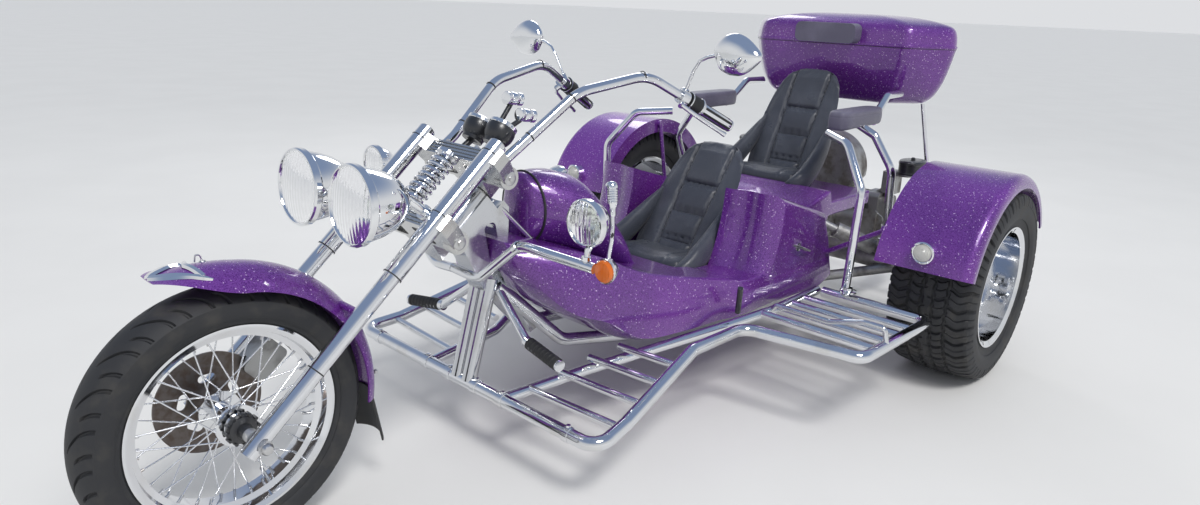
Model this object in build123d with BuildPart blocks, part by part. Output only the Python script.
# Motorized trike: raked front fork, fibreglass body with two seats, tube running boards,
# tail box and an open engine between two wide rear wheels.
# Millimetres. +X forward, +Y left, +Z up; the origin is on the ground, at the middle of the length.
from build123d import *
from math import cos, sin, tan, radians
import os

os.makedirs("parts", exist_ok=True)

SIDES = (("left", 1), ("right", -1))

# Driving dimensions
WHEELBASE = 2296
FRONT_TYRE_R = 318
REAR_TYRE_R = 345
REAR_AXLE_X = -900
FRONT_AXLE_X = REAR_AXLE_X + WHEELBASE
NOSE_X = FRONT_AXLE_X + FRONT_TYRE_R
TAIL_X = -NOSE_X
REAR_TRACK_HALF = 810
REAR_TYRE_W = 290
FRONT_TYRE_W = 130

RAKE = 49.08
STEER_OFFSET = 155
FORK_HALF = 148
FORK_TOP = 880
FORK_STEP = 455
UPPER_TUBE_R = 24
LOWER_TUBE_R = 20.5
AXLE_R = 10
RUNNING_GAP = 0.06

BOARD_TUBE_R = 19
FRAME_TUBE_R = 20
SEAT_RAIL_R = 15
HULL_FLOOR = 262
BODY_HALF = 405
BOX_WALL = 6

# The fork's own plane stands on the front axle: x across the tubes' front, z up along the tubes
FORK_UP = (-sin(radians(RAKE)), 0, cos(radians(RAKE)))
FORK_FRONT = (cos(radians(RAKE)), 0, sin(radians(RAKE)))
FRONT_AXLE = (FRONT_AXLE_X, 0, FRONT_TYRE_R)
FORK = Plane(origin=FRONT_AXLE, x_dir=FORK_FRONT, z_dir=FORK_UP)
STEER = Plane(origin=FORK.from_local_coords((-STEER_OFFSET, 0, 0)), x_dir=FORK_FRONT, z_dir=FORK_UP)


def keep(piece, name):
    """Label a finished sub-part and write it."""
    piece.part.label = name
    export_step(piece.part, f"parts/{name}.step")


def add_tube(points, bend, radius):
    """Add a round tube along straight runs joined by bends."""
    with BuildLine() as path:
        if len(points) > 2:
            FilletPolyline(*points, radius=bend)
        else:
            Line(*points)
    with BuildSketch(Plane(origin=path.line @ 0, z_dir=path.line % 0)) as section:
        Circle(radius)
    sweep(section.sketch, path=path.line)


def mirrored(points, side):
    """The same points on the left (1) or right (-1) side."""
    return [(x, y * side, z) for x, y, z in points]


def fork_point(front, across, up):
    """A point given along the fork's own directions."""
    point = FORK.from_local_coords((front, across, up))
    return (point.X, point.Y, point.Z)


def add_ring(outline, centre):
    """Turn a closed outline of (radius, across) about a wheel's axle."""
    with BuildSketch(Plane(origin=centre)) as section:
        with BuildLine():
            Polyline(*outline, close=True)
        make_face()
    revolve(section.sketch, axis=Axis(centre, (0, 1, 0)))


# Front wheel
FRONT_RIM = ((234, -51), (234, -47), (222, -43), (219, -24), (206, -18), (206, 18), (219, 24), (222, 43),
             (234, 47), (234, 51), (228, 51), (217, 45), (213, 27), (200, 21), (200, -21), (213, -27),
             (217, -45), (228, -51))
HUB_R = 32
HUB_LEFT = 60
DISC_Y = -105
DISC_T = 5
DISC_R = 124
SPOKE_R = 1.8
SPOKES = 40
SPOKE_LEAN = 42

with BuildPart() as front_rim:
    add_ring(FRONT_RIM, FRONT_AXLE)
    add_ring(((0, HUB_LEFT), (HUB_R, HUB_LEFT), (HUB_R, 52), (48, 50), (48, 42), (26, 36), (26, -36),
              (48, -42), (48, -50), (HUB_R, -52), (HUB_R, DISC_Y + DISC_T), (0, DISC_Y + DISC_T)), FRONT_AXLE)
    for k in range(SPOKES):
        turn = k * 360 / SPOKES
        lean = SPOKE_LEAN if k % 2 else -SPOKE_LEAN
        flange = 46 if k % 4 < 2 else -46
        start = (44 * cos(radians(turn + lean)), flange, 44 * sin(radians(turn + lean)))
        end = (203 * cos(radians(turn)), flange * 0.2, 203 * sin(radians(turn)))
        here = [tuple(Vector(*FRONT_AXLE) + Vector(*p)) for p in (start, end)]
        add_tube(here, 0, SPOKE_R)
    with BuildSketch(Plane(origin=FRONT_AXLE, z_dir=(0, 1, 0)).offset(DISC_Y)):
        Circle(AXLE_R + RUNNING_GAP)
    extrude(amount=HUB_LEFT - DISC_Y, mode=Mode.SUBTRACT)

with BuildPart() as front_tyre:
    with BuildSketch(Plane(origin=FRONT_AXLE)):
        with BuildLine():
            ThreePointArc((288, -63), (FRONT_TYRE_R, 0), (288, 63))
            ThreePointArc((288, 63), (262, FRONT_TYRE_W / 2), (238, 52))
            Polyline((238, 52), (235, 46.8), (222.3, 42.8), (219.2, 24), (226, 24))
            ThreePointArc((226, 24), (255, 53), (282, 53))
            ThreePointArc((282, 53), (305, 0), (282, -53))
            ThreePointArc((282, -53), (255, -53), (226, -24))
            Polyline((226, -24), (219.2, -24), (222.3, -42.8), (235, -46.8), (238, -52))
            ThreePointArc((238, -52), (262, -FRONT_TYRE_W / 2), (288, -63))
        make_face()
    revolve(axis=Axis(FRONT_AXLE, (0, 1, 0)))

with BuildPart() as front_disc:
    with BuildSketch(Plane(origin=FRONT_AXLE, z_dir=(0, 1, 0)).offset(DISC_Y)):
        Circle(DISC_R)
        Circle(HUB_R - 8, mode=Mode.SUBTRACT)
        with PolarLocations(62, 5):
            SlotOverall(40, 20, rotation=90, mode=Mode.SUBTRACT)
    extrude(amount=DISC_T)

# Fork
SPACER_R = 16
with BuildPart() as front_axle:
    with BuildSketch(Plane(origin=FRONT_AXLE, z_dir=(0, 1, 0)).offset(-FORK_HALF - 28)):
        Circle(AXLE_R)
    extrude(amount=2 * FORK_HALF + 56)
    for side, inner in ((1, HUB_LEFT + 1), (-1, -DISC_Y + 1)):
        with BuildSketch(Plane(origin=FRONT_AXLE, z_dir=(0, side, 0)).offset(inner)):
            Circle(SPACER_R)
        extrude(amount=FORK_HALF - LOWER_TUBE_R - inner)

with BuildPart() as fork_tubes:
    for name, side in SIDES:
        with BuildSketch(FORK.offset(-35)):
            with Locations((0, side * FORK_HALF)):
                Circle(LOWER_TUBE_R)
        extrude(amount=FORK_STEP + 35)
        with BuildSketch(FORK.offset(FORK_STEP)):
            with Locations((0, side * FORK_HALF)):
                Circle(UPPER_TUBE_R)
        extrude(amount=FORK_TOP - FORK_STEP)
    add(front_axle.part, mode=Mode.SUBTRACT)

# The two yokes: ribbed across the front, with arms that reach back to the steering neck
STEM_R = 15
NECK_R = 30
YOKE_T = 44
NECK_LOW = 652
NECK_HIGH = 820
YOKE_PLAY = 2
YOKE_RIBS = 4
YOKE_FACE = -12
LUG_R = 30
with BuildPart() as fork_yokes:
    for low in (NECK_LOW - YOKE_T - YOKE_PLAY, NECK_HIGH + YOKE_PLAY):
        with BuildSketch(FORK.offset(low)):
            with BuildLine():
                half = ((-STEER_OFFSET - 20, 36), (-100, 60), (-100, FORK_HALF + 8), (-34, FORK_HALF + 32),
                        (-4, FORK_HALF + 32), (6, FORK_HALF + 22), (6, FORK_HALF - 26),
                        (YOKE_FACE, FORK_HALF - 40))
                Polyline(*half, *[(x, -y) for x, y in reversed(half)], close=True)
            make_face()
            with Locations((-STEER_OFFSET, 0)):
                Circle(38)
            with Locations((0, FORK_HALF), (0, -FORK_HALF)):
                Circle(UPPER_TUBE_R, mode=Mode.SUBTRACT)
            with Locations((-62, 60), (-62, -60)):
                RectangleRounded(56, 64, 12, mode=Mode.SUBTRACT)
        extrude(amount=YOKE_T)
        for name, side in SIDES:
            with BuildSketch(Plane(origin=fork_point(-84, side * (FORK_HALF - 12), low + YOKE_T / 2),
                                   x_dir=FORK_FRONT, z_dir=(0, side, 0))):
                Circle(LUG_R)
            extrude(amount=26)
        for k in range(YOKE_RIBS):
            with BuildSketch(FORK.offset(low + 5 + k * 10)):
                with Locations((YOKE_FACE, 0)):
                    Rectangle(12, 2 * (FORK_HALF - 44))
            extrude(amount=4, mode=Mode.SUBTRACT)
    with BuildSketch(STEER.offset(NECK_LOW - YOKE_T - YOKE_PLAY)):
        Circle(STEM_R)
    extrude(amount=NECK_HIGH - NECK_LOW + 2 * YOKE_T + 2 * YOKE_PLAY)

# Spring and damper between the yokes: a coil of round wire about a slim damper
COIL_R = 32
COIL_TURNS = 8
DAMPER_R = 17
COIL_FRONT = -6
with BuildPart() as fork_spring:
    low = NECK_LOW - YOKE_PLAY
    high = NECK_HIGH + YOKE_PLAY
    pitch = (high - low - 24) / COIL_TURNS
    foot = fork_point(COIL_FRONT, 0, 0)
    with BuildSketch(Plane(origin=foot, x_dir=(0, 1, 0), z_dir=FORK_FRONT)) as coil:
        with BuildLine() as outline:
            Polyline((0, high), (0, low), (DAMPER_R + 8, low), (DAMPER_R + 8, low + 12))
            for k in range(COIL_TURNS):
                start = low + 12 + k * pitch
                Line((DAMPER_R + 8, start), (DAMPER_R + 8, start + 3))
                ThreePointArc((DAMPER_R + 8, start + 3), (COIL_R, start + pitch / 2),
                              (DAMPER_R + 8, start + pitch - 3))
                Line((DAMPER_R + 8, start + pitch - 3), (DAMPER_R + 8, start + pitch))
            Polyline((DAMPER_R + 8, high - 12), (DAMPER_R + 8, high), (0, high))
        make_face()
    revolve(coil.sketch, axis=Axis(foot, FORK_UP))

# Lamps on the fork
HEADLAMP = (1136, 119, 793)
HEADLAMP_R = 95
HEADLAMP_TILT = 4
BOWL_DEPTH = 145
with BuildPart() as headlamps:
    for name, side in SIDES:
        centre = (HEADLAMP[0], side * HEADLAMP[1], HEADLAMP[2])
        forward = (cos(radians(HEADLAMP_TILT)), 0, sin(radians(HEADLAMP_TILT)))
        upward = (-forward[2], 0, forward[0])
        with BuildSketch(Plane(origin=centre, x_dir=upward, z_dir=(0, 1, 0))) as bowl:
            with BuildLine():
                Line((0, -BOWL_DEPTH), (0, 12))
                ThreePointArc((0, 12), (50, 8), (HEADLAMP_R - 8, -4))
                Polyline((HEADLAMP_R - 8, -4), (HEADLAMP_R, -4), (HEADLAMP_R, -16), (88, -22))
                ThreePointArc((88, -22), (70, -95), (18, -BOWL_DEPTH))
                Line((18, -BOWL_DEPTH), (0, -BOWL_DEPTH))
            make_face()
        revolve(bowl.sketch, axis=Axis(centre, forward))
        add_tube((fork_point(26, side * HEADLAMP[1], 628), fork_point(110, side * HEADLAMP[1], 612)), 0, 13)
    add(fork_yokes.part, mode=Mode.SUBTRACT)

# Handlebar and what it carries
BAR_R = 14
BAR_POINTS = ((702, 128, 842), (655, 131, 872), (471, 171, 1014), (235, 215, 1055), (-70, 300, 898))
GRIP_L = 135
GRIP_R = 18
SWITCH_L = 52
SWITCH_R = 25
with BuildPart() as handlebar:
    for name, side in SIDES:
        add_tube(mirrored(BAR_POINTS, side), (22, 60, 60), BAR_R)
    add(fork_yokes.part, mode=Mode.SUBTRACT)

with BuildPart() as grips:
    for name, side in SIDES:
        near = Vector(*BAR_POINTS[-1])
        far = near + (Vector(*BAR_POINTS[-2]) - near).normalized() * GRIP_L
        here = mirrored([tuple(near), tuple(far)], side)
        add_tube(here, 0, GRIP_R)
        inner = far + (far - near).normalized() * SWITCH_L
        add_tube(mirrored([tuple(far), tuple(inner)], side), 0, SWITCH_R)
    add(handlebar.part, mode=Mode.SUBTRACT)

GAUGE = (624, 45, 921)
GAUGE_R = 38
WARNING_LAMPS = ((548, 0, 984), (538, 42, 942))
with BuildPart() as gauges:
    for name, side in SIDES:
        dial = Plane(origin=(GAUGE[0], side * GAUGE[1], GAUGE[2]), x_dir=(0, 1, 0), z_dir=(-0.6, 0, 0.8))
        with BuildSketch(dial):
            Circle(GAUGE_R)
        extrude(amount=-60, taper=8)
        add_tube((dial.from_local_coords((0, 0, -55)), fork_point(-50, side * GAUGE[1], 850)), 0, 9)
    add_tube(((GAUGE[0] - 18, -GAUGE[1], GAUGE[2] - 10), (GAUGE[0] - 18, GAUGE[1], GAUGE[2] - 10)), 0, 9)
    for x, y, z in WARNING_LAMPS:
        add_tube(((GAUGE[0] - 18, y, GAUGE[2] - 10), (x, y, z)), 0, 7)
        add_tube(((x - 24, y, z - 4), (x + 28, y, z + 4)), 0, 17)
    add(fork_yokes.part, mode=Mode.SUBTRACT)

MIRROR = (107, 426, 1124)
with BuildPart() as mirrors:
    for name, side in SIDES:
        add_tube(mirrored(((104, 251, 1003), (115, 300, 1103), (107, 380, 1124)), side), 30, 5)
        glass = Plane(origin=(MIRROR[0], side * MIRROR[1], MIRROR[2]), x_dir=(0, 1, 0), z_dir=(1, 0, 0))
        with BuildSketch(glass):
            Ellipse(75, 42)
        extrude(amount=14)
        with BuildSketch(glass.offset(14)):
            Ellipse(66, 34)
        extrude(amount=10)
        with BuildSketch(glass.offset(24)):
            Ellipse(48, 24)
        extrude(amount=6)
    add(handlebar.part, mode=Mode.SUBTRACT)

# Front fender: one arch about the wheel, whose front runs out into a lifted tip
FENDER_CENTRE = (FRONT_AXLE_X + 2, 0, FRONT_TYRE_R + 4)
FENDER_T = 5
FENDER_START = 98
FENDER_ARC = 90
FENDER_SECTIONS = (
    # angle from straight ahead, radius at the crown, radius at the edge, half width
    (FENDER_START, 362, 312, 84),
    (87, 366, 326, 84),
    (77, 371, 357, 70),
    (70, 377, 376, 34),
)


def add_fender_section(angle, crown, edge, half):
    """Sketch the arched section that stands across the fender at an angle round the wheel."""
    turn = radians(angle)
    across = Plane(origin=FENDER_CENTRE, x_dir=(cos(turn), 0, sin(turn)), z_dir=(-sin(turn), 0, cos(turn)))
    with BuildSketch(across) as section:
        with BuildLine():
            ThreePointArc((edge, -half), (crown, 0), (edge, half))
            Line((edge, half), (edge - 1, half - FENDER_T))
            ThreePointArc((edge - 1, half - FENDER_T), (crown - FENDER_T, 0), (edge - 1, FENDER_T - half))
            Line((edge - 1, FENDER_T - half), (edge, -half))
        make_face()
    return section.sketch


with BuildPart() as front_fender:
    revolve(add_fender_section(*FENDER_SECTIONS[0]), axis=Axis(FENDER_CENTRE, (0, -1, 0)),
            revolution_arc=FENDER_ARC)
    loft([add_fender_section(*row) for row in FENDER_SECTIONS])
    for name, side in SIDES:
        inner, outer = (fork_point(-4, side * y, 345) for y in (54, FORK_HALF - LOWER_TUBE_R))
        add_tube((inner, outer), 0, 9)

with BuildPart() as mudflap:
    with BuildSketch(Plane(origin=(1045, 0, 285), x_dir=(0, -1, 0), z_dir=(-0.2, 0, -1))) as flap:
        with BuildLine():
            ThreePointArc((-62, -22), (0, 0), (62, -22))
            Line((62, -22), (60, -26))
            ThreePointArc((60, -26), (0, -5), (-60, -26))
            Line((-60, -26), (-62, -22))
        make_face()
    extrude(flap.sketch, amount=138)
    add(front_fender.part, mode=Mode.SUBTRACT)

CALIPER_UP = 148
with BuildPart() as caliper:
    inboard = fork_point(-30, DISC_Y + 28, CALIPER_UP)
    with BuildSketch(Plane(origin=inboard, x_dir=FORK_FRONT, z_dir=(0, -1, 0))):
        RectangleRounded(70, 96, 14)
    extrude(amount=62)
    with BuildSketch(Plane(origin=FRONT_AXLE, z_dir=(0, 1, 0)).offset(DISC_Y - 3)):
        Circle(DISC_R + 6)
    extrude(amount=DISC_T + 6, mode=Mode.SUBTRACT)
    add(fork_tubes.part, mode=Mode.SUBTRACT)

# Chassis
RAIL = ((641, 40, 470), (430, 95, 261), (149, 140, 215), (-701, 140, 221), (-830, 110, 300))
POST_TOP = (651, 24, 490)
POST_FOOT = (731, 24, 199)
CROSSBAR_X = 731
CROSSBAR_Z = 192
GUSSET_HALF = 34
FLAT_STRUT = ((648, 520), (604, 524), (486, 318), (528, 302))

with BuildPart() as front_crossbar:
    add_tube(((CROSSBAR_X, -440, CROSSBAR_Z), (CROSSBAR_X, 440, CROSSBAR_Z)), 0, BOARD_TUBE_R)

with BuildPart() as main_frame:
    for name, side in SIDES:
        add_tube(mirrored(RAIL, side), (80, 150, 60), FRAME_TUBE_R)
        add_tube(mirrored((POST_FOOT, POST_TOP), side), 0, 22)
        add_tube(mirrored(((626, 26, 700), (500, 52, 566), (430, 60, 490)), side), 40, 7)
    for x in (150, -350, -690):
        add_tube(((x, -150, 218), (x, 150, 218)), 0, 17)
    with BuildSketch(Plane.XZ.offset(-60)):
        with BuildLine():
            Polyline(*FLAT_STRUT, close=True)
        make_face()
    extrude(amount=26)
    with BuildSketch(Plane.XZ.offset(-GUSSET_HALF)):
        with BuildLine():
            Polyline((782, 640), (650, 752), (592, 690), (600, 460), (680, 460), (742, 575), close=True)
        make_face()
        with Locations((652, 600)):
            RectangleRounded(40, 110, 15, rotation=-12, mode=Mode.SUBTRACT)
    extrude(amount=2 * GUSSET_HALF)
    with BuildSketch(STEER.offset(NECK_LOW)):
        Circle(NECK_R)
    extrude(amount=NECK_HIGH - NECK_LOW)
    with BuildSketch(STEER.offset(NECK_LOW - 110)):
        Circle(90)
    extrude(amount=110, mode=Mode.SUBTRACT)
    with BuildSketch(STEER.offset(NECK_HIGH)):
        Circle(70)
    extrude(amount=90, mode=Mode.SUBTRACT)
    with BuildSketch(STEER.offset(NECK_LOW)):
        Circle(STEM_R + RUNNING_GAP)
    extrude(amount=NECK_HIGH - NECK_LOW, mode=Mode.SUBTRACT)
    add(front_crossbar.part, mode=Mode.SUBTRACT)

# Running boards: an outer tube that widens into the passenger's foot rest, an inner tube and rungs
OUTER = ((CROSSBAR_X, 440, CROSSBAR_Z), (CROSSBAR_X, 525, CROSSBAR_Z), (599, 505, 205), (250, 455, 292),
         (0, 462, 294), (-60, 830, 295), (-500, 850, 297), (-500, 470, 297))
INNER = ((CROSSBAR_X, 165, CROSSBAR_Z), (439, 205, 201), (0, 394, 278), (-212, 446, 296), (-500, 446, 297))
RUNGS = (
    # x, inner end y, outer end y, z
    (640, 178, 512, 200),
    (530, 193, 495, 219),
    (430, 211, 480, 241),
    (340, 248, 468, 263),
)
SLATS = (-150, -230, -310, -390)
HEEL_BAR = ((-190, 448, 297), (-190, 462, 322), (-190, 655, 322), (-190, 765, 354), (-190, 830, 354),
            (-190, 843, 298))
board = {}
for name, side in SIDES:
    with BuildPart() as board[name]:
        add_tube(mirrored(OUTER, side), (45, 60, 60, 60, 40, 40), BOARD_TUBE_R)
        add_tube(mirrored(INNER, side), (60, 120, 120), 16)
        for x, y0, y1, z in RUNGS:
            add_tube(mirrored(((x, y0, z), (x - 20, y1, z)), side), 0, 11)
        for x in SLATS:
            add_tube(mirrored(((x, 440, 295), (x, 835, 295)), side), 0, 14)
        add_tube(mirrored(HEEL_BAR, side), (10, 60, 60, 16), 8)
        add(front_crossbar.part, mode=Mode.SUBTRACT)

# Seats
SEATS = (
    # name, where back and cushion meet (x, z), back lean
    ("driver", -210, 426, 34.9),
    ("passenger", -930, 640, 26.6),
)
SEAT_HALF = 200
CUSHION_T = 85
CUSHION_OUT = 165
BACK_T = 75
BACK_L = 435
seats = {}
for name, x, z, lean in SEATS:
    foot_x = x + CUSHION_T * tan(radians(lean))
    with BuildPart() as seats[name + "_cushion"]:
        with BuildSketch(Plane.XZ.offset(-SEAT_HALF)):
            with BuildLine():
                Polyline((x + 1, z), (x + CUSHION_OUT - 30, z), (x + CUSHION_OUT, z - 30),
                         (x + CUSHION_OUT - 15, z - CUSHION_T), (foot_x + 1, z - CUSHION_T), close=True)
            make_face()
        extrude(amount=2 * SEAT_HALF)
        fillet(seats[name + "_cushion"].edges().filter_by(Axis.Y).group_by(Axis.X)[-1], 14)
    with BuildPart() as seats[name + "_back"]:
        low = CUSHION_T / cos(radians(lean))
        front = (cos(radians(lean)), 0, sin(radians(lean)))
        with BuildSketch(Plane(origin=(x, 0, z), x_dir=(0, 1, 0), z_dir=front)):
            with Locations((0, (BACK_L - low) / 2)):
                RectangleRounded(2 * SEAT_HALF - 52, BACK_L + low, 130)
        extrude(amount=-BACK_T)
        split(bisect_by=Plane.XY.offset(z - CUSHION_T), keep=Keep.TOP)

# Body
HULL_SECTIONS = (
    # x, floor z, half width, chine z, half width, ridge z, half width
    (660, 540, 50, 560, 120, 612, 105),
    (560, 420, 130, 432, 240, 600, 195),
    (430, 340, 180, 372, 285, 560, 250),
    (300, 268, 200, 294, 305, 500, 300),
    (150, HULL_FLOOR, 220, 285, 338, 462, 342),
    (-20, HULL_FLOOR, 240, 281, 355, 428, 380),
    (-150, HULL_FLOOR, 250, 285, 385, 408, BODY_HALF),
    (-640, HULL_FLOOR, 250, 285, 385, 408, BODY_HALF),
)
with BuildPart() as hull:
    for x, floor, floor_half, chine, chine_half, ridge, ridge_half in HULL_SECTIONS:
        with BuildSketch(Plane(origin=(x, 0, 0), x_dir=(0, 1, 0), z_dir=(1, 0, 0))):
            with BuildLine():
                belly = ((floor_half + chine_half) / 2 + 8, (floor + chine) / 2 - 4)
                flank = ((chine_half + ridge_half) / 2 + 14, (chine + ridge) / 2)
                Line((-floor_half, floor), (floor_half, floor))
                ThreePointArc((floor_half, floor), belly, (chine_half, chine))
                ThreePointArc((chine_half, chine), flank, (ridge_half, ridge))
                Line((ridge_half, ridge), (-ridge_half, ridge))
                ThreePointArc((-ridge_half, ridge), (-flank[0], flank[1]), (-chine_half, chine))
                ThreePointArc((-chine_half, chine), (-belly[0], belly[1]), (-floor_half, floor))
            make_face()
    loft(ruled=True)
    add(main_frame.part, mode=Mode.SUBTRACT)
    add(seats["driver_cushion"].part, mode=Mode.SUBTRACT)
    add(seats["driver_back"].part, mode=Mode.SUBTRACT)

TANK_SECTIONS = (
    # x, middle z, half width, half height
    (542, 674, 24, 84),
    (530, 672, 62, 102),
    (500, 669, 92, 106),
    (460, 664, 122, 113),
    (400, 646, 158, 123),
    (340, 619, 175, 124),
    (250, 540, 176, 92),
    (160, 446, 152, 57),
    (60, 372, 130, 22),
)
with BuildPart() as tank:
    for x, middle, half_w, half_h in TANK_SECTIONS:
        with BuildSketch(Plane(origin=(x, 0, 0), x_dir=(0, 1, 0), z_dir=(1, 0, 0))):
            with Locations((0, middle)):
                Ellipse(half_w, half_h)
    loft(ruled=True)
    add(hull.part, mode=Mode.SUBTRACT)
    add(main_frame.part, mode=Mode.SUBTRACT)

BODY_FRONT = (-95, 316)
BODY_SCALLOP = (-188, 470)
BODY_SHOULDER = (-228, 664)
BODY_PROFILE = (BODY_SHOULDER, (-595, 558), (-650, 440), (-700, 291), (-608, 264), (-287, 282), BODY_FRONT)
PAN_PROFILE = ((-600, 412), (-700, 412), (-760, 500), (-1100, 500), (-1100, 556), (-775, 556), (-760, 600),
               (-735, 600), (-590, 560))
PAN_HALF = 330
with BuildPart() as rear_body:
    with BuildSketch(Plane.XZ.offset(-BODY_HALF)):
        with BuildLine():
            ThreePointArc(BODY_FRONT, BODY_SCALLOP, BODY_SHOULDER)
            Polyline(*BODY_PROFILE)
        make_face()
    extrude(amount=2 * BODY_HALF)
    with BuildSketch(Plane.XZ.offset(-PAN_HALF)):
        with BuildLine():
            Polyline(*PAN_PROFILE, close=True)
        make_face()
    extrude(amount=2 * PAN_HALF)
    with BuildSketch(Plane.XZ.offset(-SEAT_HALF)):
        with BuildLine():
            Polyline((0, 250), (-213, 250), (-213, 300), (-330, 466), (-451, 640), (-470, 720), (0, 720),
                     close=True)
        make_face()
    extrude(amount=2 * SEAT_HALF, mode=Mode.SUBTRACT)
    add(hull.part, mode=Mode.SUBTRACT)
    add(seats["driver_back"].part, mode=Mode.SUBTRACT)
    add(seats["passenger_cushion"].part, mode=Mode.SUBTRACT)
    add(seats["passenger_back"].part, mode=Mode.SUBTRACT)

with BuildPart() as armrest_pads:
    for name, side in SIDES:
        with BuildSketch(Plane(origin=(-868, side * 335, 856))):
            RectangleRounded(330, 90, 30)
        extrude(amount=42)
        fillet(armrest_pads.edges().filter_by(Plane.XY).group_by(Axis.Z)[-1], 12)

# Tail box and its lid, which swings up on two hinges at the back
BOX_FLOOR = 888
BOX_SEAM = 1118
BOX_TOP = 1246
LID_GAP = 2
BOX_MIDDLE_X = -1465
BOX_REACH = 232
BOX_HALF = 471
BOX_CORNERS = (
    # x, y, corner radius at the seam
    (-1238, 340, 60),
    (-1416, BOX_HALF, 70),
    (-1605, 395, 110),
    (BOX_MIDDLE_X - BOX_REACH, 210, 150),
)
BOWL = (
    # height, size beside the seam's
    (BOX_FLOOR, 0.8),
    (918, 0.92),
    (985, 0.97),
    (BOX_SEAM, 1),
)
CROWN = (
    # height, size beside the seam's
    (BOX_SEAM + LID_GAP, 1),
    (1205, 0.955),
    (BOX_TOP, 0.8),
)
HINGE = (TAIL_X + 7, BOX_SEAM + LID_GAP / 2)
HINGE_R = 7
HINGE_PIN_R = 3
HINGE_L = 30
HINGE_YS = (-150, 90)


def box_outline(height, shrink, wall=0):
    """The box's outline from above at a height: a straight front, wide shoulders and a rounded back."""
    along = shrink - wall / BOX_REACH
    across = shrink - wall / BOX_HALF
    half = [(BOX_MIDDLE_X + (x - BOX_MIDDLE_X) * along, y * across) for x, y, bend in BOX_CORNERS]
    bends = [bend * shrink for x, y, bend in BOX_CORNERS]
    with BuildSketch(Plane.XY.offset(height)) as plan:
        with BuildLine():
            FilletPolyline(*half, *[(x, -y) for x, y in reversed(half)], radius=bends + bends[::-1],
                           close=True)
        make_face()
    return plan.sketch


with BuildPart() as tail_box:
    loft([box_outline(height, shrink) for height, shrink in BOWL], ruled=True)
    fillet(tail_box.faces().sort_by(Axis.Z)[0].edges(), 12)
    loft([box_outline(max(height, BOX_FLOOR + BOX_WALL), shrink, BOX_WALL) for height, shrink in BOWL],
         ruled=True, mode=Mode.SUBTRACT)
    for y in HINGE_YS:
        with BuildSketch(Plane(origin=(HINGE[0], y, HINGE[1]), x_dir=(1, 0, 0), z_dir=(0, 1, 0))):
            Circle(HINGE_R)
            with Locations((11, 4)):
                Rectangle(22, 6)
            Circle(HINGE_PIN_R + RUNNING_GAP, mode=Mode.SUBTRACT)
        extrude(amount=HINGE_L)

with BuildPart() as box_lid:
    loft([box_outline(height, shrink) for height, shrink in CROWN], ruled=True)
    fillet(box_lid.faces().sort_by(Axis.Z)[-1].edges(), 12)
    loft([box_outline(min(height, BOX_TOP - BOX_WALL), shrink, BOX_WALL) for height, shrink in CROWN],
         ruled=True, mode=Mode.SUBTRACT)
    for y in HINGE_YS:
        knuckle = (HINGE[0], y + HINGE_L + 1, HINGE[1])
        with BuildSketch(Plane(origin=knuckle, x_dir=(1, 0, 0), z_dir=(0, 1, 0))):
            Circle(HINGE_R)
            with Locations((11, -4)):
                Rectangle(22, 6)
        extrude(amount=HINGE_L)
        with BuildSketch(Plane(origin=(HINGE[0], y, HINGE[1]), z_dir=(0, 1, 0))):
            Circle(HINGE_PIN_R)
        extrude(amount=HINGE_L + 1)

with BuildPart() as lid_pad:
    with BuildSketch(Plane(origin=(-1180, 0, 1165), x_dir=(0, 1, 0), z_dir=(1, 0, 0))):
        RectangleRounded(274, 80, 25)
    extrude(amount=-62)
    add(box_lid.part, mode=Mode.SUBTRACT)

seat_rail = {}
for name, side in SIDES:
    with BuildPart() as seat_rail[name]:
        add_tube(mirrored(((-480, 560, 317), (-482, 570, 682), (-542, 471, 821), (-632, 352, 833)), side),
                 (60, 50), SEAT_RAIL_R)
        add_tube(mirrored(((-980, 470, 401), (-872, 500, 695), (-868, 419, 813), (-868, 350, 845)), side),
                 (60, 30), SEAT_RAIL_R)
        add_tube(mirrored(((-1300, 320, 938), (-1135, 330, 938), (-1044, 335, 870), (-1000, 345, 845)), side),
                 30, SEAT_RAIL_R)
        add(armrest_pads.part, mode=Mode.SUBTRACT)
        loft([box_outline(height, shrink) for height, shrink in BOWL], ruled=True, mode=Mode.SUBTRACT)

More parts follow.
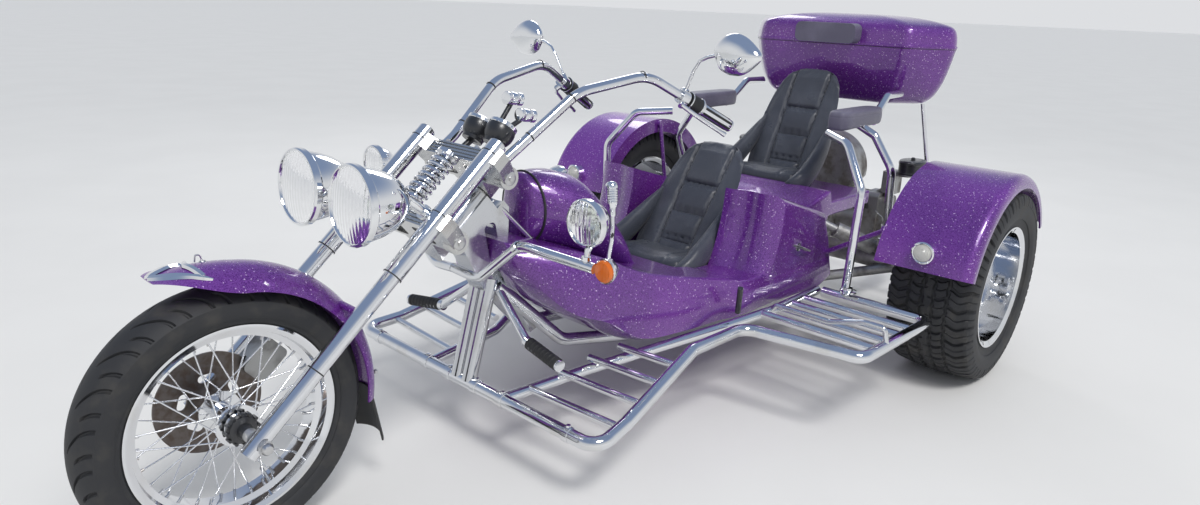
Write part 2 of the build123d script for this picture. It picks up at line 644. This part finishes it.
# Rear wheels, axle and fenders
REAR_RIM = ((218, 132), (218, 127), (204, 120), (204, -120), (218, -127), (218, -132), (212, -132),
            (197, -123), (197, 12), (60, 12), (60, 30), (197, 30), (197, 123), (212, 132))
REAR_HUB_R = 60
STUB_R = 17
rear_rim = {}
rear_tyre = {}
for name, side in SIDES:
    centre = (REAR_AXLE_X, side * REAR_TRACK_HALF, REAR_TYRE_R)
    with BuildPart() as rear_rim[name]:
        add_ring([(r, side * y) for r, y in REAR_RIM], centre)
        with BuildSketch(Plane(origin=centre, z_dir=(0, side, 0)).offset(-100)):
            Circle(REAR_HUB_R)
            Circle(STUB_R + RUNNING_GAP, mode=Mode.SUBTRACT)
        extrude(amount=130)
        with BuildSketch(Plane(origin=centre, z_dir=(0, side, 0)).offset(30)):
            with PolarLocations(47, 5):
                Circle(9)
        extrude(amount=16)
        with BuildSketch(Plane(origin=centre, z_dir=(0, side, 0)).offset(30)):
            Circle(30)
        extrude(amount=26, taper=12)
    with BuildPart() as rear_tyre[name]:
        with BuildSketch(Plane(origin=centre)):
            with BuildLine():
                ThreePointArc((334, -128), (REAR_TYRE_R, 0), (334, 128))
                ThreePointArc((334, 128), (325, 141), (310, REAR_TYRE_W / 2))
                ThreePointArc((310, REAR_TYRE_W / 2), (262, 144), (219, 127))
                Polyline((219, 127), (218, 127), (204, 120), (204, 95), (214, 95))
                ThreePointArc((214, 95), (260, 130), (308, 130))
                Polyline((308, 130), (328, 110), (328, -110), (308, -130))
                ThreePointArc((308, -130), (260, -130), (214, -95))
                Polyline((214, -95), (204, -95), (204, -120), (218, -127), (219, -127))
                ThreePointArc((219, -127), (262, -144), (310, -REAR_TYRE_W / 2))
                ThreePointArc((310, -REAR_TYRE_W / 2), (325, -141), (334, -128))
            make_face()
        revolve(axis=Axis(centre, (0, 1, 0)))

ENGINE_X = -1330
AXLE_LINE = Plane(origin=(REAR_AXLE_X, 0, REAR_TYRE_R), z_dir=(0, 1, 0))
TRAILING_ARM = ((-640, 300, 262), (-760, 330, 262), (-885, 560, 330))
DAMPER = ((-890, 520, 372), (-738, 318, 478))
with BuildPart() as transaxle:
    for radius, half in ((95, 110), (60, 150), (38, 640), (STUB_R, 830)):
        with BuildSketch(AXLE_LINE.offset(-half)):
            Circle(radius)
        extrude(amount=2 * half)
    with BuildSketch(Plane(origin=(-770, 0, 352), z_dir=(-1, 0, 0))):
        Circle(62)
    with BuildSketch(Plane(origin=(-1000, 0, 358), z_dir=(-1, 0, 0))):
        Circle(96)
    loft()
    with BuildSketch(Plane(origin=(-1000, 0, 358), z_dir=(-1, 0, 0))):
        Circle(96)
    with BuildSketch(Plane(origin=(ENGINE_X + 172, 0, 360), z_dir=(-1, 0, 0))):
        Circle(138)
    loft()
    for name, side in SIDES:
        add_tube(mirrored(TRAILING_ARM, side), 50, 19)
        add_tube(mirrored(DAMPER, side), 0, 16)
        foot, head = (Vector(*p) for p in mirrored(DAMPER, side))
        add_tube((tuple(foot + (head - foot) * 0.22), tuple(foot + (head - foot) * 0.8)), 0, 30)
    for piece in (main_frame, rear_body, hull):
        add(piece.part, mode=Mode.SUBTRACT)

# Engine: a flat four with finned barrels, an upright fan housing, a belt drive and two carburettors
ENGINE_Z = 380
CASE_TOP = 505
CYLINDER_X = 66
FINS = 7
FIN_PITCH = 14
HEAD_IN = 232
COVER_IN = 296
COVER_OUT = 330
SHROUD_BACK = ENGINE_X - 45
PULLEY_X = ENGINE_X - 158
CRANK_Z = 395
DYNAMO_Z = 610
CRANK_PULLEY_R = 82
DYNAMO_PULLEY_R = 46
CARB_Y = 318
CARB_LOW = 515
FILTER = (ENGINE_X, 396, 634)
FILTER_T = 56
with BuildPart() as engine:
    with BuildSketch(Plane.YZ.offset(ENGINE_X - 130)):
        with BuildLine():
            Polyline((-105, 235), (105, 235), (130, 300), (130, 440), (75, CASE_TOP), (-75, CASE_TOP),
                     (-130, 440), (-130, 300), close=True)
        make_face()
    extrude(amount=280)
    with BuildSketch(Plane(origin=(ENGINE_X + 150, 0, 360), z_dir=(1, 0, 0))):
        Circle(140)
    extrude(amount=22)
    for name, side in SIDES:
        for x in (ENGINE_X - CYLINDER_X, ENGINE_X + CYLINDER_X):
            with BuildSketch(Plane(origin=(x, 0, ENGINE_Z), z_dir=(0, side, 0)).offset(120)):
                Circle(47)
            extrude(amount=HEAD_IN - 120)
        for k in range(FINS):
            fin_y = side * (138 + k * FIN_PITCH)
            with BuildSketch(Plane(origin=(ENGINE_X, fin_y, ENGINE_Z), z_dir=(0, side, 0))):
                RectangleRounded(256, 124, 50)
            extrude(amount=4)
        for inner, outer, length, height in ((HEAD_IN, COVER_IN, 262, 130), (COVER_IN, COVER_OUT, 236, 92)):
            with BuildSketch(Plane(origin=(ENGINE_X, side * inner, ENGINE_Z), z_dir=(0, side, 0))):
                RectangleRounded(length, height, 20)
            extrude(amount=outer - inner)
        add_tube(mirrored(((ENGINE_X, 262, 440), (ENGINE_X, 262, 490), (ENGINE_X, CARB_Y, 530)), side),
                 24, 21)
        with BuildSketch(Plane(origin=(ENGINE_X, side * CARB_Y, CARB_LOW))):
            RectangleRounded(78, 62, 12)
        extrude(amount=FILTER[2] - FILTER_T / 2 - CARB_LOW)
        with BuildSketch(Plane(origin=(ENGINE_X, side * (FILTER[1] - 40), FILTER[2] - FILTER_T / 2 - 10))):
            RectangleRounded(84, 100, 30)
        extrude(amount=14)
        with BuildSketch(Plane(origin=(FILTER[0], side * FILTER[1], FILTER[2] - FILTER_T / 2))):
            Ellipse(74, 50)
        extrude(amount=FILTER_T)
    with BuildSketch(Plane.YZ.offset(SHROUD_BACK)):
        with BuildLine():
            Line((-120, 480), (120, 480))
            Line((120, 480), (178, 560))
            ThreePointArc((178, 560), (130, 700), (0, 742))
            ThreePointArc((0, 742), (-130, 700), (-178, 560))
            Line((-178, 560), (-120, 480))
        make_face()
    extrude(amount=96)
    with BuildSketch(Plane(origin=(SHROUD_BACK, 0, DYNAMO_Z), z_dir=(-1, 0, 0))):
        Circle(104)
        Circle(92, mode=Mode.SUBTRACT)
    extrude(amount=16)
    with BuildSketch(Plane(origin=(SHROUD_BACK, 0, DYNAMO_Z), z_dir=(-1, 0, 0))):
        Circle(52)
    extrude(amount=96)
    for height, radius in ((DYNAMO_Z, DYNAMO_PULLEY_R), (CRANK_Z, CRANK_PULLEY_R)):
        with BuildSketch(Plane(origin=(PULLEY_X, 0, height), z_dir=(1, 0, 0))):
            Circle(radius)
        extrude(amount=18)
        with BuildSketch(Plane(origin=(PULLEY_X, 0, height), z_dir=(1, 0, 0))):
            Circle(20)
        extrude(amount=40)
    for side in (1, -1):
        with BuildSketch(Plane.YZ.offset(PULLEY_X + 4)):
            with BuildLine():
                Polyline((side * (CRANK_PULLEY_R - 6), CRANK_Z), (side * (CRANK_PULLEY_R + 3), CRANK_Z),
                         (side * (DYNAMO_PULLEY_R + 3), DYNAMO_Z), (side * (DYNAMO_PULLEY_R - 6), DYNAMO_Z),
                         close=True)
            make_face()
        extrude(amount=10)

MUFFLER_R = 46
with BuildPart() as exhausts:
    for name, side in SIDES:
        add_tube(mirrored(((ENGINE_X - CYLINDER_X, 268, 318), (ENGINE_X - CYLINDER_X, 300, 190),
                           (-1500, 300, 190), (-1694, 300, 228)), side), (40, 50), 24)
        add_tube(mirrored(((ENGINE_X + CYLINDER_X, 268, 318), (ENGINE_X + CYLINDER_X, 300, 190),
                           (-1460, 300, 190)), side), 40, 22)
        add_tube(mirrored(((-1500, 300, 190), (-1665, 300, 222)), side), 0, MUFFLER_R)
    add(engine.part, mode=Mode.SUBTRACT)

BUMPER_R = 19
BUMPER_X = TAIL_X + BUMPER_R
with BuildPart() as rear_bumper:
    for name, side in SIDES:
        add_tube(mirrored(((BUMPER_X, 0, 345), (BUMPER_X, 520, 345), (-1460, 520, 290),
                           (-1460, 90, 290)), side), (70, 60), BUMPER_R)
        add_tube(mirrored(((-1460, 486, 290), (-1450, 343, 930)), side), 0, 9)
    loft([box_outline(height, shrink) for height, shrink in BOWL], ruled=True, mode=Mode.SUBTRACT)
    add(engine.part, mode=Mode.SUBTRACT)
    add(exhausts.part, mode=Mode.SUBTRACT)

FENDER_R = 398
FENDER_SKIN = 6
FENDER_LIFT = 3
FENDER_IN = 630
FENDER_OUT = 950
FENDER_ROUND = 34
INNER_LIP = 60
OUTER_LIP = 46
FENDER_FROM = 15
FENDER_SWEEP = 138
STAYS = (
    # x, z on the fender's inner lip, and the stay's foot on the axle tube or the body
    (-900, 725, (-900, 560, 375)),
    (-590, 540, (-625, 395, 400)),
    (-1210, 540, (-960, 560, 350)),
)
FENDER_AXIS = Plane(origin=(REAR_AXLE_X, 0, REAR_TYRE_R + FENDER_LIFT), z_dir=(0, 1, 0))
fender = {}
for name, side in SIDES:
    hub = (REAR_AXLE_X, 0, REAR_TYRE_R + FENDER_LIFT)
    turn = radians(FENDER_FROM)
    start = Plane(origin=hub, x_dir=(cos(turn), 0, sin(turn)), z_dir=(-sin(turn), 0, cos(turn)))
    skin = FENDER_R - FENDER_SKIN
    soft = FENDER_R - FENDER_ROUND
    bent = 0.293 * FENDER_ROUND
    with BuildPart() as fender[name]:
        with BuildSketch(start) as section:
            with BuildLine():
                Polyline((FENDER_R - INNER_LIP, side * FENDER_IN), (FENDER_R, side * FENDER_IN),
                         (FENDER_R, side * (FENDER_OUT - FENDER_ROUND)))
                ThreePointArc((FENDER_R, side * (FENDER_OUT - FENDER_ROUND)),
                              (FENDER_R - bent, side * (FENDER_OUT - bent)), (soft, side * FENDER_OUT))
                Polyline((soft, side * FENDER_OUT), (FENDER_R - OUTER_LIP, side * FENDER_OUT),
                         (FENDER_R - OUTER_LIP, side * (FENDER_OUT - FENDER_SKIN)),
                         (soft, side * (FENDER_OUT - FENDER_SKIN)))
                ThreePointArc((soft, side * (FENDER_OUT - FENDER_SKIN)),
                              (skin - bent + 2, side * (FENDER_OUT - FENDER_SKIN - bent + 2)),
                              (skin, side * (FENDER_OUT - FENDER_ROUND)))
                Polyline((skin, side * (FENDER_OUT - FENDER_ROUND)), (skin, side * (FENDER_IN + FENDER_SKIN)),
                         (FENDER_R - INNER_LIP, side * (FENDER_IN + FENDER_SKIN)),
                         (FENDER_R - INNER_LIP, side * FENDER_IN))
            make_face()
        revolve(section.sketch, axis=Axis(hub, (0, -1, 0)), revolution_arc=FENDER_SWEEP)
        for x, z, foot in STAYS:
            add_tube(mirrored((foot, (x, 622, z)), side), 0, 9)
            add_tube(mirrored(((x, 614, z), (x, 631, z)), side), 0, 16)
        for piece in (transaxle, main_frame, hull, rear_body):
            add(piece.part, mode=Mode.SUBTRACT)

MARKER = (-478, 790, 515)
with BuildPart() as marker_lamps:
    for name, side in SIDES:
        with BuildSketch(Plane(origin=(MARKER[0], side * MARKER[1], MARKER[2]), z_dir=(-1, 0, 0))):
            Circle(34)
        extrude(amount=80)
    with BuildSketch(FENDER_AXIS):
        Circle(FENDER_R)
    extrude(amount=1000, both=True, mode=Mode.SUBTRACT)

TAIL_LAMP = (-1262, 790, 600)
with BuildPart() as tail_lamps:
    for name, side in SIDES:
        with BuildSketch(Plane(origin=(TAIL_LAMP[0], side * TAIL_LAMP[1], TAIL_LAMP[2]), z_dir=(1, 0, 0))):
            Circle(42)
        extrude(amount=110)
    with BuildSketch(FENDER_AXIS):
        Circle(FENDER_R)
    extrude(amount=1000, both=True, mode=Mode.SUBTRACT)

# Front bar and its lamps
LAMP_BAR = ((761, 0, 539), (753, 95, 529), (744, 250, 657), (704, 468, 641))
with BuildPart() as lamp_bar:
    for name, side in SIDES:
        add_tube(mirrored(LAMP_BAR, side), (60, 60), 13)
    add(main_frame.part, mode=Mode.SUBTRACT)

SPOT = (701, 444, 749)
SPOT_R = 59
with BuildPart() as spot_lamps:
    for name, side in SIDES:
        with BuildSketch(Plane(origin=(SPOT[0], side * SPOT[1], SPOT[2]), z_dir=(-1, 0, 0)).offset(-20)):
            Circle(SPOT_R)
        extrude(amount=70, taper=20)
        add_tube(mirrored(((SPOT[0] - 15, SPOT[1], SPOT[2]), (708, 444, 652)), side), 0, 7)
    add(lamp_bar.part, mode=Mode.SUBTRACT)

INDICATOR = (702, 490, 637)
with BuildPart() as indicators:
    for name, side in SIDES:
        with BuildSketch(Plane(origin=(INDICATOR[0], side * INDICATOR[1], INDICATOR[2]), z_dir=(-1, 0, 0))):
            Circle(31)
        extrude(amount=45, taper=14)
    add(lamp_bar.part, mode=Mode.SUBTRACT)

with BuildPart() as foot_pegs:
    for name, side in SIDES:
        add_tube(mirrored(((640, 50, 455), (660, 190, 350)), side), 0, 12)
        add_tube(mirrored(((659, 185, 351), (676, 335, 332)), side), 0, 16)
    add(main_frame.part, mode=Mode.SUBTRACT)

GEAR_KNOB = (365, 212, 742)
KNOB_R = 17
with BuildPart() as hand_levers:
    for name, side in SIDES:
        add_tube(mirrored(((-20, 425, 330), (0, 440, 420)), side), 0, 9)
    add_tube(((395, 236, 540), (385, 240, 620), GEAR_KNOB), 60, 6)
    with Locations(GEAR_KNOB):
        Sphere(KNOB_R)
    add(hull.part, mode=Mode.SUBTRACT)
    add(rear_body.part, mode=Mode.SUBTRACT)

pieces = {
    "front_tyre": front_tyre, "front_rim": front_rim, "front_disc": front_disc,
    "front_axle": front_axle, "fork_tubes": fork_tubes, "fork_yokes": fork_yokes,
    "fork_spring": fork_spring, "headlamps": headlamps, "handlebar": handlebar, "grips": grips,
    "gauges": gauges, "mirrors": mirrors, "front_fender": front_fender, "mudflap": mudflap,
    "caliper": caliper, "front_crossbar": front_crossbar, "main_frame": main_frame,
    "running_board_left": board["left"], "running_board_right": board["right"],
    "hull": hull, "tank": tank, "rear_body": rear_body, "seat_rail_left": seat_rail["left"],
    "seat_rail_right": seat_rail["right"], "armrest_pads": armrest_pads, "tail_box": tail_box,
    "box_lid": box_lid, "lid_pad": lid_pad, "rear_rim_left": rear_rim["left"],
    "rear_rim_right": rear_rim["right"], "rear_tyre_left": rear_tyre["left"],
    "rear_tyre_right": rear_tyre["right"], "transaxle": transaxle, "engine": engine,
    "exhausts": exhausts, "rear_bumper": rear_bumper, "rear_fender_left": fender["left"],
    "rear_fender_right": fender["right"], "marker_lamps": marker_lamps, "tail_lamps": tail_lamps,
    "lamp_bar": lamp_bar, "spot_lamps": spot_lamps, "indicators": indicators, "foot_pegs": foot_pegs,
    "hand_levers": hand_levers,
}
pieces.update(seats)
for name, piece in pieces.items():
    keep(piece, name)
